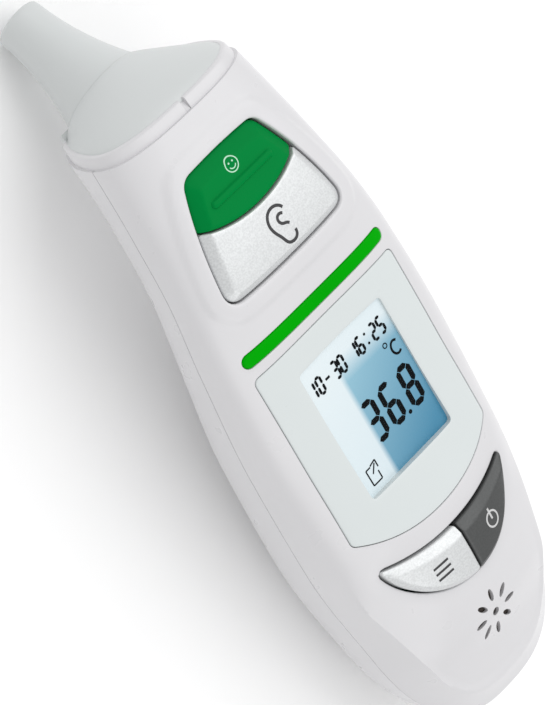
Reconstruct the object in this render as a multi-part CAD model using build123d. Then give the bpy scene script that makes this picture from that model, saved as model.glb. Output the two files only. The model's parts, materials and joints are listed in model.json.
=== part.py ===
from build123d import *
import math
import os

# Digital ear thermometer, modelled in a design frame in millimetres: X to the right, Y towards
# the probe, Z out of the display, origin at the middle of the display window. seat() then turns
# and lifts every piece into the resting frame: lying on its back, on z = 0.

# ---------------------------------------------------------------- driving dimensions
WALL = 1.8                    # casing wall
SEAM = 0.06                   # half of the gap between the two casing halves
TAIL_Y = -62.0                # rounded lower end
TAIL_START_Y = -40.0          # where the lower end begins to round off
TAIL_POWER = 2.6
HEAD_Y = 57.4                 # upper rim of the casing
COLLAR_LENGTH = 2.2           # snap collar beyond the rim, which a hood clips over
FACET_DEPTH = 1.0             # how deep the resting facet is cut into the curved back

# Casing sections: (y, value) stations, joined by smooth curves.
HALF_WIDTH = [(-62, 17.0), (-40, 19.5), (-20, 21.8), (0, 22.2), (20, 21.2), (40, 18.5), (60, 15.8)]
CROWN_Z = [(-62, -6.9), (-50, -3.0), (-43, -0.3), (-30, 1.2), (-12, 0.7), (0, 0.2), (18, 0.2), (29, 0.1),
           (51, -2.7), (60, -4.0)]
PARTING_Z = [(-62, -9.0), (-30, -10.5), (0, -9.0), (30, -7.0), (45, -9.0), (60, -12.3)]
BACK_DEPTH = [(-62, 13.5), (-30, 17.3), (0, 16.4), (30, 14.0), (45, 14.4), (60, 17.8)]
FRONT_POWER = [(-62, 2.5), (-40, 2.6), (-17, 3.0), (17, 3.6), (60, 3.2)]
BACK_POWER = [(-62, 2.6), (-30, 2.8), (0, 2.7), (30, 2.3), (60, 1.95)]
SECTION_Y = [-61.65, -61.0, -59.5, -57.0, -53.0, -47.0, -40.0, -30.0, -20.0, -8.0, 4.0, 16.0, 28.0, 40.0,
             50.0, 57.4]
SECTION_STEPS = 16

# Display, lens panel and light bar
LENS_HALF_WIDTH = 17.0
LENS_TOP_Y = 17.2
LENS_SIDE_Y = -16.8           # where the curved lower edge starts
LENS_BOTTOM_Y = -21.8
LENS_THICKNESS = 1.3
LENS_LEDGE = 1.6
LENS_GAP = 0.12
LCD_SIZE = (25.4, 31.0, 1.9)
LCD_TOP_Z = -3.2
BAR_Y = 20.5
BAR_LENGTH = 34.2
BAR_WIDTH = 2.3

# Main buttons, which share one shield-shaped opening
SHIELD_BOTTOM = (14.0, 29.6)
SHIELD_TOP = (8.2, 49.7)
SHIELD_SIDE = (12.1, 39.6)
SHIELD_BOW = 0.4
SHIELD_RADIUS = 2.6
SHIELD_SPREAD = [(1.10, -0.94), (0.96, 0.27), (0.67, 0.94)]   # how bottom, side and top grow, per mm
SPLIT_END = (14.5, 43.7)      # the arc between the two buttons, run past the outline
SPLIT_MIDDLE_Y = 39.3
MAIN_TILT = 7.2               # the face falls towards the head here
KEY_GAP = 0.25
KEY_PROUD = 0.9
KEY_TRAVEL = 0.6
FLANGE_REACH = 0.9

# Memory and set buttons, which share one crescent opening
CRESCENT_RADIUS = 16.0
CRESCENT_CENTRE_Y = -19.5
CRESCENT_TOP_RADIUS = 47.2
CRESCENT_TOP_Y = -26.1
SMALL_KEY_X = 6.3
SMALL_KEY_Y = -30.4

# Speaker
SPEAKER_Y = -45.0
PETAL_COUNT = 8
PETAL_RADIUS = 3.6
PETAL_SIZE = (2.5, 0.9)

# Probe: cone axis leans back from +Y
CONE_LEAN = 40.2
CONE_BASE = (60.3, -24.0)     # y, z of the base circle's centre
CONE_LENGTH = 18.4
TIP_RADIUS = 4.35
BASE_RADIUS = 8.0
CONE_WALL = 1.15
RING_RADIUS = 10.2
RING_THICKNESS = 1.6
HEAD_SECTIONS = [              # (y, z, lean, half width, half height) from the collar to the cone
    (57.3, -16.6, 11.0, 14.6, 12.9),
    (59.75, -19.5, 25.2, 12.6, 11.4),
]
HEAD_WALL = 1.5

# Board, batteries and fasteners
BOARD_TOP_Z = -7.7
BOARD_THICKNESS = 1.4
CELL_RADIUS = 5.2
CELL_LENGTH = 44.5
CELL_X = 5.7
CELL_Z = -17.5
CELL_Y = -20.5
DOOR_HALF_WIDTH = 12.4
DOOR_Y = (-47.0, 6.0)
COVER_WALL = 2.2              # measured from the back before its facet is cut
GRIP_Y = -2.0                 # thumb grooves on the cover
GRIP_RIBS = 4
CASE_SCREWS = [(-9.5, -51.0), (9.5, -51.0), (-15.4, 24.7), (15.4, 24.7)]
SCREW_HEAD_Z = -13.0
BOSS_RADIUS = 2.5
TRAY_TOP_Z = -11.2
TRAY_WALL = 1.0
TIP_ROUND = 0.9
BUZZER_RADIUS = 6.0


# ---------------------------------------------------------------- curves through stations
def slopes(stations):
    """Slopes for a smooth curve that doesn't overshoot its stations."""
    steps = [(b[1] - a[1]) / (b[0] - a[0]) for a, b in zip(stations, stations[1:])]
    inner = [0.0 if a * b <= 0 else 2 * a * b / (a + b) for a, b in zip(steps, steps[1:])]
    return [steps[0]] + inner + [steps[-1]]


def along(stations, y):
    """Value at y on the smooth curve through (y, value) stations."""
    grades = slopes(stations)
    for (a, b), (low, high) in zip(zip(stations, stations[1:]), zip(grades, grades[1:])):
        if y <= b[0] or b is stations[-1]:
            span = b[0] - a[0]
            t = (y - a[0]) / span
            return (a[1] * (1 + 2 * t) * (1 - t) ** 2 + low * span * t * (1 - t) ** 2
                    + b[1] * t * t * (3 - 2 * t) + high * span * t * t * (t - 1))


def tail_factor(y, inset):
    """1 along the body, falling to 0 at the rounded lower end."""
    t = (TAIL_START_Y - y) / (TAIL_START_Y - TAIL_Y - inset)
    return (1 - min(max(t, 0.0), 1.0) ** TAIL_POWER) ** (1 / TAIL_POWER)


def half_size(y, front, inset):
    """Half width, and height above or depth below the parting line, of one casing half."""
    factor = tail_factor(y, inset)
    width = along(HALF_WIDTH, y) * factor - inset * min(1.0, 2 * factor)
    if front:
        height = (along(CROWN_Z, y) - along(PARTING_Z, y)) * factor ** 0.9
    else:
        height = along(BACK_DEPTH, y) * factor
    return width, height - inset


def half_section(y, front, inset, skirt):
    """Section of one casing half at y: a superellipse arch on its parting line, with a skirt
    that carries the section past the parting line."""
    base = along(PARTING_Z, y)
    width, height = half_size(y, front, inset)
    power = along(FRONT_POWER if front else BACK_POWER, y)
    rise = height if front else -height
    lift = SEAM if front else -SEAM
    points = []
    for step in range(SECTION_STEPS + 1):
        angle = math.pi * step / SECTION_STEPS
        reach = (abs(math.cos(angle)) ** power + abs(math.sin(angle)) ** power) ** (-1 / power)
        z = base + lift + rise * reach * math.sin(angle)
        points.append(Vector(width * reach * math.cos(angle), y, z))
    up = Vector(0, 0, 1 if front else -1)
    edges = [Edge.make_spline(points)]
    first, last = points[0], points[-1]
    if skirt:
        low_first = first - up * skirt
        low_last = last - up * skirt
        edges += [Edge.make_line(last, low_last), Edge.make_line(low_last, low_first),
                  Edge.make_line(low_first, first)]
    else:
        edges.append(Edge.make_line(last, first))
    return Face(Wire(edges))


def first_station(front, inset):
    """Lowest section that is still large enough to draw."""
    y = SECTION_Y[0]
    while min(half_size(y, front, inset)) < 0.5:
        y += 0.25
    return y


def casing_half(front, inset=0.0, skirt=0.0, end=HEAD_Y):
    """Solid of one casing half, shrunk by inset (or grown, where it is negative)."""
    start = first_station(front, inset)
    stations = [start] + [y for y in SECTION_Y if start + 0.4 < y < end - 0.4] + [end]
    return Solid.make_loft([half_section(y, front, inset, skirt).outer_wire() for y in stations])


# ---------------------------------------------------------------- placing helpers
def prism(face, low, high, tilt=0.0, pivot=(0.0, 0.0)):
    """Upright prism of a face drawn in X and Y, leaning by tilt degrees about a line on X."""
    solid = extrude(Pos(0, 0, low) * face, amount=high - low, dir=(0, 0, 1))
    return Pos(0, *pivot) * Rot(-tilt, 0, 0) * Pos(0, -pivot[0], -pivot[1]) * solid


def block(x, y, z):
    """Box between two corners, each axis given as (low, high)."""
    size = [axis[1] - axis[0] for axis in (x, y, z)]
    middle = [(axis[1] + axis[0]) / 2 for axis in (x, y, z)]
    return Pos(*middle) * Box(*size)


def post(x, y, radius, low, high):
    """Upright cylinder."""
    return Pos(x, y, (low + high) / 2) * Cylinder(radius, high - low)


def cone_place(distance):
    """Location on the probe axis, distance in front of the base circle, its Z along the axis."""
    lean = math.radians(CONE_LEAN)
    y = CONE_BASE[0] + distance * math.cos(lean)
    z = CONE_BASE[1] - distance * math.sin(lean)
    return Pos(0, y, z) * Rot(-90 - CONE_LEAN, 0, 0)


# ---------------------------------------------------------------- outlines, drawn in X and Y
def shield(grow=0.0):
    """Outline that the two main buttons share."""
    corners = zip((SHIELD_BOTTOM, SHIELD_SIDE, SHIELD_TOP), SHIELD_SPREAD)
    (bx, by), (sx, sy), (tx, ty) = [(x + grow * dx, y + grow * dy) for (x, y), (dx, dy) in corners]
    with BuildSketch() as sketch:
        with BuildLine():
            ThreePointArc((-bx, by), (0, SHIELD_BOTTOM[1] - SHIELD_BOW - grow), (bx, by))
            ThreePointArc((bx, by), (sx, sy), (tx, ty))
            ThreePointArc((tx, ty), (0, SHIELD_TOP[1] + SHIELD_BOW + grow), (-tx, ty))
            ThreePointArc((-tx, ty), (-sx, sy), (-bx, by))
        make_face()
        fillet(sketch.vertices(), SHIELD_RADIUS + grow)
    return sketch.sketch


def below_split(shift):
    """Region on the ear button's side of the split arc, moved along Y by shift."""
    sx, sy = SPLIT_END
    with BuildSketch() as sketch:
        with BuildLine():
            ThreePointArc((-sx, sy + shift), (0, SPLIT_MIDDLE_Y + shift), (sx, sy + shift))
            Polyline((sx, sy + shift), (sx + 6, sy + shift), (sx + 6, 0), (-sx - 6, 0), (-sx - 6, sy + shift),
                     (-sx, sy + shift))
        make_face()
    return sketch.sketch


def crescent(grow=0.0):
    """Outline that the memory and set buttons share."""
    disc = Pos(0, CRESCENT_CENTRE_Y) * Circle(CRESCENT_RADIUS)
    bite = Pos(0, CRESCENT_TOP_Y + CRESCENT_TOP_RADIUS) * Circle(CRESCENT_TOP_RADIUS)
    shape = disc - bite
    shape = fillet(shape.vertices(), 0.8)
    return offset(shape, amount=grow) if grow else shape


def lens_outline(grow=0.0):
    """Lens panel: straight top and sides, and a curved lower edge."""
    half = LENS_HALF_WIDTH
    with BuildSketch() as sketch:
        with BuildLine():
            ThreePointArc((-half, LENS_SIDE_Y), (0, LENS_BOTTOM_Y), (half, LENS_SIDE_Y))
            Line((half, LENS_SIDE_Y), (half, LENS_TOP_Y))
            ThreePointArc((half, LENS_TOP_Y), (0, LENS_TOP_Y + 0.3), (-half, LENS_TOP_Y))
            Line((-half, LENS_TOP_Y), (-half, LENS_SIDE_Y))
        make_face()
        fillet(sketch.vertices().group_by(Axis.Y)[0], 2.4)
        fillet(sketch.vertices().group_by(Axis.Y)[-1], 0.5)
        if grow:
            offset(amount=grow)
    return sketch.sketch


def bar_outline(grow=0.0):
    """Light bar across the face."""
    return Pos(0, BAR_Y) * SlotOverall(BAR_LENGTH + 2 * grow, BAR_WIDTH + 2 * grow)


def speaker_holes():
    """Petal slots around a middle hole."""
    holes = Pos(0, SPEAKER_Y) * Circle(0.75)
    for petal in range(PETAL_COUNT):
        turn = Rot(0, 0, 360 * petal / PETAL_COUNT)
        shape = Ellipse(PETAL_SIZE[0] / 2, PETAL_SIZE[1] / 2)
        holes += Pos(0, SPEAKER_Y) * turn * Pos(PETAL_RADIUS, 0) * shape
    return holes


# ---------------------------------------------------------------- resting pose
def ground_height(y, z, pitch):
    """Height of a point of the middle plane, once the model is pitched."""
    return y * math.sin(pitch) + z * math.cos(pitch)


def back_height(pitch):
    """Lowest height of the curved back."""
    heights = []
    for step in range(101):
        y = -58 + step
        z = along(PARTING_Z, y) - along(BACK_DEPTH, y) * tail_factor(y, 0)
        heights.append(ground_height(y, z, pitch))
    return min(heights)


def tip_height(pitch):
    """Lowest height of the probe's rounded tip."""
    lean = math.radians(CONE_LEAN)
    reach = CONE_LENGTH - TIP_ROUND
    radius = TIP_RADIUS - TIP_ROUND
    y = CONE_BASE[0] + reach * math.cos(lean) - radius * math.sin(lean)
    z = CONE_BASE[1] - reach * math.sin(lean) - radius * math.cos(lean)
    return ground_height(y, z, pitch) - TIP_ROUND


def rest_pitch():
    """Pitch, in radians, at which the back's facet and the probe's tip touch the table together."""
    low, high = 0.0, math.radians(20)
    for _ in range(50):
        middle = (low + high) / 2
        if tip_height(middle) < back_height(middle) + FACET_DEPTH:
            low = middle
        else:
            high = middle
    return (low + high) / 2


PITCH = rest_pitch()
GROUND = tip_height(PITCH)


def rest_plane_cut(solid):
    """Cut the flat resting facet into the curved back."""
    slab = Rot(-math.degrees(PITCH), 0, 0) * Pos(0, 0, GROUND - 10) * Box(80, 200, 20)
    return solid - slab


# ---------------------------------------------------------------- casing
def behind_ring():
    """Everything on the cone's side of the retaining ring's rear face."""
    return cone_place(-RING_THICKNESS - 0.15) * Pos(0, 0, 20) * Box(80, 60, 40)


def front_shell():
    top = casing_half(True) - casing_half(True, inset=WALL, skirt=3.0, end=HEAD_Y + 2)
    core = casing_half(True, inset=0.4)
    for x, y in CASE_SCREWS:
        top = top + (post(x, y, BOSS_RADIUS, along(PARTING_Z, y) + SEAM, 4) & core)
    for x, y in CASE_SCREWS:
        top = top - post(x, y, 0.95, -20, along(CROWN_Z, y) - 3.6)
    lens_band = prism(lens_outline(LENS_GAP), -12, 8) - casing_half(True, inset=LENS_THICKNESS + 0.05)
    top = top - lens_band
    top = top - prism(lens_outline(-LENS_LEDGE), -12, 8)
    top = top - prism(bar_outline(0.05), -12, 8)
    top = top - prism(shield(KEY_GAP), -12, 8, MAIN_TILT, (39.6, -1.2))
    top = top - prism(crescent(KEY_GAP), -8, 8)
    top = top - prism(speaker_holes(), -8, 8)
    return top - head_dome(0.1)


def door_prism(grow):
    x = DOOR_HALF_WIDTH + grow
    return block((-x, x), (DOOR_Y[0] - grow, DOOR_Y[1] + grow), (-40, -21))


def rear_shell():
    outer = rest_plane_cut(casing_half(False))
    shell = outer - casing_half(False, inset=WALL, skirt=3.0, end=HEAD_Y + 2)
    for x, y in CASE_SCREWS:
        pillar = post(x, y, 3.4, -40, along(PARTING_Z, y) - SEAM) & outer
        shell = shell + pillar
    for x, y in CASE_SCREWS:
        shell = shell - post(x, y, 2.3, -40, SCREW_HEAD_Z)
        shell = shell - post(x, y, 1.25, -40, 0)
    shell = shell - door_prism(0.2)
    shell = shell - behind_ring()
    return shell - head_dome(0.1)


def battery_cover():
    lid = rest_plane_cut(casing_half(False)) & door_prism(0.0)
    lid = lid - casing_half(False, inset=COVER_WALL, skirt=3.0)
    floor_z = along(PARTING_Z, GRIP_Y) - along(BACK_DEPTH, GRIP_Y)
    for step in range(GRIP_RIBS):
        groove = Pos(0, GRIP_Y + 1.6 * step, floor_z - 0.5) * Rot(0, 90, 0) * Cylinder(1.0, 14)
        lid = lid - groove
    return lid


def ring_band(outer, inner, low, high):
    """Band round the inside of the casing, between two insets and two places along Y."""
    span = block((-30, 30), (low, high), (-60, 20))
    halves = [casing_half(front, inset=outer, skirt=0.2, end=high + 1) & span for front in (True, False)]
    cores = [casing_half(front, inset=inner, skirt=2.0, end=high + 2) for front in (True, False)]
    return halves[0] + halves[1] - cores[0] - cores[1]


def snap_collar():
    end = HEAD_Y + COLLAR_LENGTH
    ring = ring_band(0.3, 2.6, HEAD_Y + 0.05, end) - behind_ring() - head_dome(0.05)
    notch_z = along(CROWN_Z, end)
    return ring - block((-0.5, 0.5), (HEAD_Y + 0.5, end + 1), (notch_z - 0.9, 0))


# ---------------------------------------------------------------- probe
def head_section(y, z, lean, half_width, half_height, grow):
    place = Pos(0, y, z) * Rot(-90 - lean, 0, 0)
    return place * Ellipse(half_width + grow, half_height + grow)


def head_dome(grow=0.0):
    """Rounded head between the collar and the cone's base circle."""
    wires = [head_section(*section, grow).wire() for section in HEAD_SECTIONS]
    wires.append((cone_place(0) * Circle(BASE_RADIUS + 0.4 + grow)).wire())
    return Solid.make_loft(wires)


def cone_radius(distance, wall=0.0):
    """Concave flare: distance is measured from the base circle towards the tip."""
    t = (CONE_LENGTH - distance) / CONE_LENGTH
    return TIP_RADIUS + (BASE_RADIUS - TIP_RADIUS) * t * t - wall


def cone_solid(wall, start, end, tip_round=0.0):
    """Solid of revolution under the flared wall, in the cone's own frame."""
    steps = 8
    points = [(cone_radius(start + (end - start) * i / steps, wall), start + (end - start) * i / steps)
              for i in range(steps + 1)]
    with BuildSketch(Plane.XZ) as sketch:
        with BuildLine():
            Spline(points)
            Polyline(points[-1], (0, points[-1][1]), (0, points[0][1]), points[0])
        make_face()
    solid = revolve(sketch.sketch, Axis.Z, 360)
    if tip_round:
        solid = fillet(solid.edges().group_by(Axis.Z)[-1], tip_round)
    return solid


def probe_housing():
    cone = cone_place(0) * cone_solid(0.0, -0.5, CONE_LENGTH, TIP_ROUND)
    lower = block((-20, 20), (2, 20), (-10, 10))
    ring = cone_place(0) * ((Pos(0, 0, -RING_THICKNESS / 2) * Cylinder(RING_RADIUS, RING_THICKNESS)) & lower)
    wires = [head_section(*section, -HEAD_WALL).wire() for section in HEAD_SECTIONS]
    wires.append((cone_place(0) * Circle(BASE_RADIUS + 0.4 - HEAD_WALL)).wire())
    body = head_dome() + cone + ring - Solid.make_loft(wires)
    body = body - cone_place(0) * cone_solid(CONE_WALL, -2.0, CONE_LENGTH - 1.0)
    return body - on_axis(2.75, CONE_LENGTH - 2.0, CONE_LENGTH + 1.0)


def on_axis(radius, low, high, bore=0.0):
    """Cylinder or tube on the probe axis, from low to high in front of the base circle."""
    solid = Pos(0, 0, (low + high) / 2) * Cylinder(radius, high - low)
    if bore:
        solid = solid - Pos(0, 0, (low + high) / 2) * Cylinder(bore, high - low + 1)
    return cone_place(0) * solid


def probe_window():
    return on_axis(2.7, CONE_LENGTH - 0.9, CONE_LENGTH - 0.5)


def waveguide_tube():
    return on_axis(2.1, 3.4, CONE_LENGTH - 0.95, bore=1.7)


def thermopile_can():
    return on_axis(2.6, 0.2, 3.3) + on_axis(3.2, -0.4, 0.2)


def sensor_holder():
    sleeve = on_axis(4.9, -1.6, 1.2, bore=3.3) + on_axis(3.9, 1.2, 5.2, bore=2.7)
    return sleeve + on_axis(3.9, 5.2, 6.0, bore=2.2)


def sensor_seal():
    return cone_place(0) * Pos(0, 0, 3.2) * Torus(4.78, 0.84)


def sensor_board():
    return on_axis(4.4, -2.8, -1.7)


def sensor_flex():
    """Thin ribbon from the sensor board back to the underside of the main board."""
    under = BOARD_TOP_Z - BOARD_THICKNESS - 0.2
    with BuildSketch(Plane.YZ) as sketch:
        with BuildLine():
            bends = [(57.7, -21.9), (55.0, -19.6), (52.6, -13.0), (50.6, under), (45.0, under)]
            FilletPolyline(*bends, radius=1.0)
        trace(line_width=0.2)
    return extrude(sketch.sketch, amount=3.0, both=True)


def probe_bracket():
    """Frame inside the casing's mouth that the probe housing is seated on."""
    band = ring_band(WALL + 0.12, WALL + 5.0, 54.4, 57.2)
    return band - head_dome(0.1) - behind_ring() - on_axis(5.0, -3.4, -1.0)


# ---------------------------------------------------------------- keys
def key(outline, wide, tilt, pivot, plunger):
    """A button: top that follows the casing, a retaining flange inside, and a plunger."""
    crown = casing_half(True, inset=-KEY_PROUD, skirt=6.0)
    under = casing_half(True, inset=3.0, skirt=8.0)
    cap = (prism(outline, -9, 8, tilt, pivot) & crown) - under
    band = casing_half(True, inset=WALL + 0.15, skirt=6.0) - under
    flange = prism(wide, -9, 8, tilt, pivot) & band
    x, y, low = plunger
    stem = post(x, y, 1.6, low, along(CROWN_Z, y) - 1.5)
    return cap + flange + stem


def main_key(upper):
    split = below_split(KEY_GAP / 2 if upper else -KEY_GAP / 2)
    outline = shield(0.0)
    wide = shield(KEY_GAP + FLANGE_REACH)
    if upper:
        outline = outline - split
        wide = wide - split
        plunger = (0, 45.4, BOARD_TOP_Z + 1.55)
    else:
        outline = outline & split
        wide = wide & split
        plunger = (0, 34.0, BOARD_TOP_Z + 1.55)
    return key(outline, wide, MAIN_TILT, (39.6, -1.2), plunger)


def small_key(side):
    half = Pos(side * (10 + KEY_GAP / 2), -30) * Rectangle(20, 30)
    outline = crescent(0.0) & half
    wide = crescent(KEY_GAP + FLANGE_REACH) & half
    return key(outline, wide, 0.0, (0, 0), (side * SMALL_KEY_X, SMALL_KEY_Y, BOARD_TOP_Z + 1.55))


def dome(x, y):
    base = Pos(x, y, BOARD_TOP_Z + 0.25) * Cylinder(3.4, 0.5)
    bell = Pos(x, y, BOARD_TOP_Z + 1.0) * Cone(2.6, 1.7, 1.0)
    return base + bell


# ---------------------------------------------------------------- display and light bar
def lens_panel():
    panel = prism(lens_outline(), -12, 8) & casing_half(True)
    return panel - casing_half(True, inset=LENS_THICKNESS, skirt=2.0)


def lcd_glass():
    x, y, thickness = LCD_SIZE
    return block((-x / 2, x / 2), (-y / 2, y / 2), (LCD_TOP_Z - thickness, LCD_TOP_Z))


def lcd_frame():
    x, y = LCD_SIZE[0] / 2, LCD_SIZE[1] / 2
    outer = block((-x - 1.9, x + 1.9), (-y - 1.9, y + 1.9), (BOARD_TOP_Z + 0.05, LCD_TOP_Z + 0.3))
    return outer - block((-x - 0.1, x + 0.1), (-y - 0.1, y + 0.1), (-12, 0))


def backlight():
    x = LCD_SIZE[0] / 2 - 0.4
    return block((-x, x), (-12.6, 12.6), (BOARD_TOP_Z + 0.6, LCD_TOP_Z - LCD_SIZE[2] - 0.1))


def zebra_strips():
    strips = []
    for side in (-1, 1):
        y = side * 14.2
        height = (BOARD_TOP_Z + 0.03, LCD_TOP_Z - LCD_SIZE[2] - 0.03)
        strips.append(block((-12, 12), (y - 1.0, y + 1.0), height))
    return Compound(strips)


def light_bar():
    bar = (prism(bar_outline(), -12, 8) & casing_half(True, inset=-0.15, skirt=6.0))
    bar = bar - casing_half(True, inset=2.6, skirt=6.0)
    for x in (-10, 0, 10):
        bar = bar + (post(x, BAR_Y, 1.0, BOARD_TOP_Z + 1.15, 2) & casing_half(True, inset=1.0, skirt=6.0))
    return bar


def status_leds():
    height = (BOARD_TOP_Z + 0.03, BOARD_TOP_Z + 1.0)
    depth = (BAR_Y - 0.7, BAR_Y + 0.7)
    return Compound([block((x - 0.9, x + 0.9), depth, height) for x in (-10, 0, 10)])


# ---------------------------------------------------------------- electronics
def main_board():
    corners = [(-6, -50), (6, -50), (6, -44.5), (12.5, -44.5), (16.6, -32), (16.6, 21.0), (11.4, 21.0),
               (11.4, 50.5), (-11.4, 50.5), (-11.4, 21.0), (-16.6, 21.0), (-16.6, -32), (-12.5, -44.5),
               (-6, -44.5)]
    outline = make_face(Polyline(*corners, close=True))
    return prism(outline, BOARD_TOP_Z - BOARD_THICKNESS, BOARD_TOP_Z)


def under_board(x, y, width, length, height):
    """Component on the underside of the main board."""
    top = BOARD_TOP_Z - BOARD_THICKNESS - 0.03
    return block((x - width / 2, x + width / 2), (y - length / 2, y + length / 2), (top - height, top))


def mcu_chip():
    return under_board(0, 28, 9.0, 9.0, 1.2)


def board_components():
    pieces = [under_board(-6.5, 41, 4.0, 5.0, 1.2), under_board(6.0, 40, 5.0, 4.0, 1.3),
              under_board(0, 17.5, 6.0, 3.4, 1.5)]
    for step in range(5):
        pieces.append(under_board(-12 + 1.9 * step, 12.5, 1.0, 2.0, 0.7))
        pieces.append(under_board(4.4 + 1.9 * step, 12.5, 1.0, 2.0, 0.7))
    return Compound(pieces)


def buzzer():
    return post(0, SPEAKER_Y + 0.6, BUZZER_RADIUS, BOARD_TOP_Z + 0.05, BOARD_TOP_Z + 1.7)


def buzzer_gasket():
    outer = post(0, SPEAKER_Y + 0.6, BUZZER_RADIUS, BOARD_TOP_Z + 1.72, 2)
    inner = post(0, SPEAKER_Y + 0.6, BUZZER_RADIUS - 0.9, -12, 4)
    return (outer - inner) & casing_half(True, inset=WALL + 0.1, skirt=4.0)


# ---------------------------------------------------------------- batteries
def cell(x, flip):
    """AAA cell with its terminal nub."""
    length = CELL_LENGTH - 0.8
    body = Pos(x, CELL_Y, CELL_Z) * Rot(90, 0, 0) * Cylinder(CELL_RADIUS, length)
    nub = Pos(x, CELL_Y + flip * (length / 2 + 0.4), CELL_Z) * Rot(90, 0, 0) * Cylinder(1.9, 0.8)
    return body + nub


def battery_tray():
    """Open-bottomed tray that holds both cells."""
    x = DOOR_HALF_WIDTH - 0.3
    y_low, y_high = DOOR_Y[0] + 0.3, DOOR_Y[1] - 0.3
    wall = TRAY_WALL
    tray = block((-x, x), (y_low, y_high), (-25, TRAY_TOP_Z))
    tray = tray - block((-x + wall, x - wall), (y_low + wall, y_high - wall), (-30, TRAY_TOP_Z - wall))
    return tray & casing_half(False, inset=COVER_WALL + 0.15, skirt=3.0)


def battery_springs():
    """Conical contact springs on the cells' flat ends."""
    springs = []
    for x, side in ((-CELL_X, -1), (CELL_X, 1)):
        wire_radius = 0.25
        base_y = CELL_Y + side * (CELL_LENGTH / 2 + 2.2)
        coil = Edge.make_helix(pitch=0.75, height=1.9, radius=2.9, angle=-25)
        profile = Plane(origin=coil.position_at(0), z_dir=coil.tangent_at(0)) * Circle(wire_radius)
        spring = sweep(profile, path=coil)
        springs.append(Pos(x, base_y, CELL_Z) * Rot(side * 90, 0, 0) * spring)
    return Compound([solid for spring in springs for solid in spring.solids()])


def contact_plates():
    """Sprung metal plates at both ends of the cells."""
    plates = []
    low = DOOR_Y[0] + 0.3 + TRAY_WALL
    high = DOOR_Y[1] - 0.3 - TRAY_WALL
    for y in (low + 0.25, high - 0.25):
        plates.append(block((-CELL_X - 4, CELL_X + 4), (y - 0.2, y + 0.2), (CELL_Z - 3.6, CELL_Z + 4.2)))
    return Compound(plates)


def case_screws():
    screws = []
    for x, y in CASE_SCREWS:
        screw = post(x, y, 2.0, SCREW_HEAD_Z - 1.4, SCREW_HEAD_Z)
        screw = screw + post(x, y, 1.0, SCREW_HEAD_Z, along(CROWN_Z, y) - 3.8)
        for turn in (0, 90):
            slot = Pos(x, y, SCREW_HEAD_Z - 1.4) * Rot(0, 0, turn) * Box(2.2, 0.5, 1.2)
            screw = screw - slot
        screws.append(screw)
    return Compound(screws)


# ---------------------------------------------------------------- all pieces
PIECES = {
    "front_shell": front_shell,
    "rear_shell": rear_shell,
    "battery_cover": battery_cover,
    "snap_collar": snap_collar,
    "probe_housing": probe_housing,
    "probe_bracket": probe_bracket,
    "probe_window": probe_window,
    "waveguide_tube": waveguide_tube,
    "thermopile_can": thermopile_can,
    "sensor_holder": sensor_holder,
    "sensor_seal": sensor_seal,
    "sensor_board": sensor_board,
    "sensor_flex": sensor_flex,
    "forehead_button": lambda: main_key(True),
    "ear_button": lambda: main_key(False),
    "memory_button": lambda: small_key(-1),
    "set_button": lambda: small_key(1),
    "forehead_dome": lambda: dome(0, 45.4),
    "ear_dome": lambda: dome(0, 34.0),
    "memory_dome": lambda: dome(-SMALL_KEY_X, SMALL_KEY_Y),
    "set_dome": lambda: dome(SMALL_KEY_X, SMALL_KEY_Y),
    "light_bar": light_bar,
    "status_leds": status_leds,
    "lens_panel": lens_panel,
    "lcd_glass": lcd_glass,
    "lcd_frame": lcd_frame,
    "backlight": backlight,
    "zebra_strips": zebra_strips,
    "main_board": main_board,
    "mcu_chip": mcu_chip,
    "board_components": board_components,
    "buzzer": buzzer,
    "buzzer_gasket": buzzer_gasket,
    "battery_tray": battery_tray,
    "left_cell": lambda: cell(-CELL_X, 1),
    "right_cell": lambda: cell(CELL_X, -1),
    "battery_springs": battery_springs,
    "contact_plates": contact_plates,
    "case_screws": case_screws,
}


def main():
    os.makedirs("parts", exist_ok=True)
    pieces = {name: make() for name, make in PIECES.items()}
    turned = {name: Rot(math.degrees(PITCH), 0, 0) * piece for name, piece in pieces.items()}
    tail_y = turned["rear_shell"].bounding_box().min.Y
    tip_y = turned["probe_housing"].bounding_box().max.Y
    seat = Pos(0, -(tail_y + tip_y) / 2, -GROUND)
    for name, piece in turned.items():
        export_step(seat * piece, f"parts/{name}.step")
    print("pitch in degrees", round(math.degrees(PITCH), 4))
    print("shift and lift in mm", round(-(tail_y + tip_y) / 2, 4), round(-GROUND, 4))


main()
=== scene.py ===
import json
import math

import bpy
import numpy as np
from mathutils import Matrix, Vector
from mathutils.geometry import delaunay_2d_cdt
from mathutils.kdtree import KDTree


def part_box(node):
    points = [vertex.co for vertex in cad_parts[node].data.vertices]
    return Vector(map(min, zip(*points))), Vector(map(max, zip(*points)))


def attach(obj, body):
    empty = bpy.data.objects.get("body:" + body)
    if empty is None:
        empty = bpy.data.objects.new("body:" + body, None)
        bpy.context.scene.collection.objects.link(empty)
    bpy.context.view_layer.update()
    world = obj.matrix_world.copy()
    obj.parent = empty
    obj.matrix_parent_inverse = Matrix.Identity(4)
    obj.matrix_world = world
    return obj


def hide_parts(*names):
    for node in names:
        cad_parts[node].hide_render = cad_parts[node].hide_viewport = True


# Looks of the digital ear thermometer. Shapes are drawn in the design frame, in millimetres: X to the
# right, Y towards the probe, Z out of the display, origin at the middle of the display window.
# Builder.make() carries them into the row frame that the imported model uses, in metres.

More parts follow.
